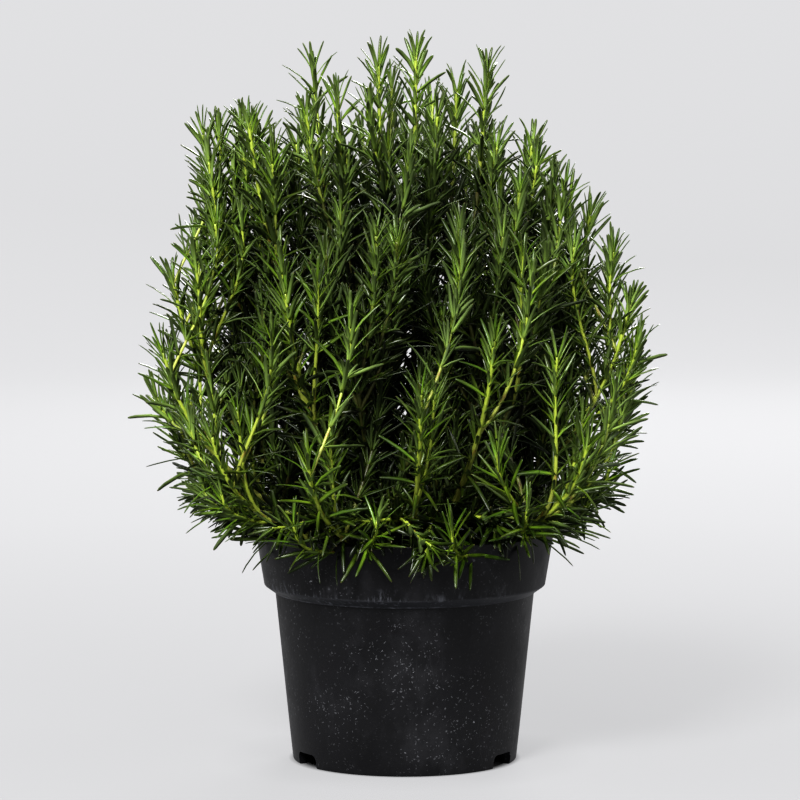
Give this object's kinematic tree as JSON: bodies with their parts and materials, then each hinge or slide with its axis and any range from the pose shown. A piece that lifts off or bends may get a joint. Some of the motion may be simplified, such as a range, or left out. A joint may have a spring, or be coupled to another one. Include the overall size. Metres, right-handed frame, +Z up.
{
  "type": "potted rosemary plant",
  "caption": "Bushy upright rosemary plant with needle leaves in a round black plastic nursery pot with a deep collar, filled with soil",
  "frame": {"origin": "centre of the object's outline at the height of the surface it stands on, which is within 2 mm of the pot's axis; the axis itself is X = Y = 0", "axes": "+Z up along the pot's axis, -Y the front as pictured, +X to the right from the front"},
  "size_m": [0.3255, 0.3049, 0.462],
  "materials": {
    "black_plastic": "matte, dusty and lightly scratched",
    "potting_soil": null,
    "green_stem": "soft green bark, browner low down",
    "rosemary_leaf": "leathery, slightly glossy dark green"
  },
  "bodies": {
    "root": {"pot": "black_plastic", "soil": "potting_soil", "stem_01": "green_stem", "stem_02": "green_stem", "stem_03": "green_stem", "stem_04": "green_stem", "stem_05": "green_stem", "stem_06": "green_stem", "stem_07": "green_stem", "stem_08": "green_stem", "stem_09": "green_stem", "stem_10": "green_stem", "stem_11": "green_stem", "stem_12": "green_stem", "stem_13": "green_stem", "stem_14": "green_stem", "stem_15": "green_stem", "stem_16": "green_stem", "stem_17": "green_stem", "stem_18": "green_stem", "stem_19": "green_stem", "stem_20": "green_stem", "stem_21": "green_stem", "stem_22": "green_stem", "stem_23": "green_stem", "stem_24": "green_stem", "stem_25": "green_stem", "stem_26": "green_stem", "stem_27": "green_stem", "stem_28": "green_stem", "stem_29": "green_stem", "leaves_01": "rosemary_leaf", "leaves_02": "rosemary_leaf", "leaves_03": "rosemary_leaf", "leaves_04": "rosemary_leaf", "leaves_05": "rosemary_leaf", "leaves_06": "rosemary_leaf", "leaves_07": "rosemary_leaf", "leaves_08": "rosemary_leaf", "leaves_09": "rosemary_leaf", "leaves_10": "rosemary_leaf", "leaves_11": "rosemary_leaf", "leaves_12": "rosemary_leaf", "leaves_13": "rosemary_leaf", "leaves_14": "rosemary_leaf", "leaves_15": "rosemary_leaf", "leaves_16": "rosemary_leaf", "leaves_17": "rosemary_leaf", "leaves_18": "rosemary_leaf", "leaves_19": "rosemary_leaf", "leaves_20": "rosemary_leaf", "leaves_21": "rosemary_leaf", "leaves_22": "rosemary_leaf", "leaves_23": "rosemary_leaf", "leaves_24": "rosemary_leaf", "leaves_25": "rosemary_leaf", "leaves_26": "rosemary_leaf", "leaves_27": "rosemary_leaf", "leaves_28": "rosemary_leaf", "leaves_29": "rosemary_leaf"}
  },
  "joints": []
}
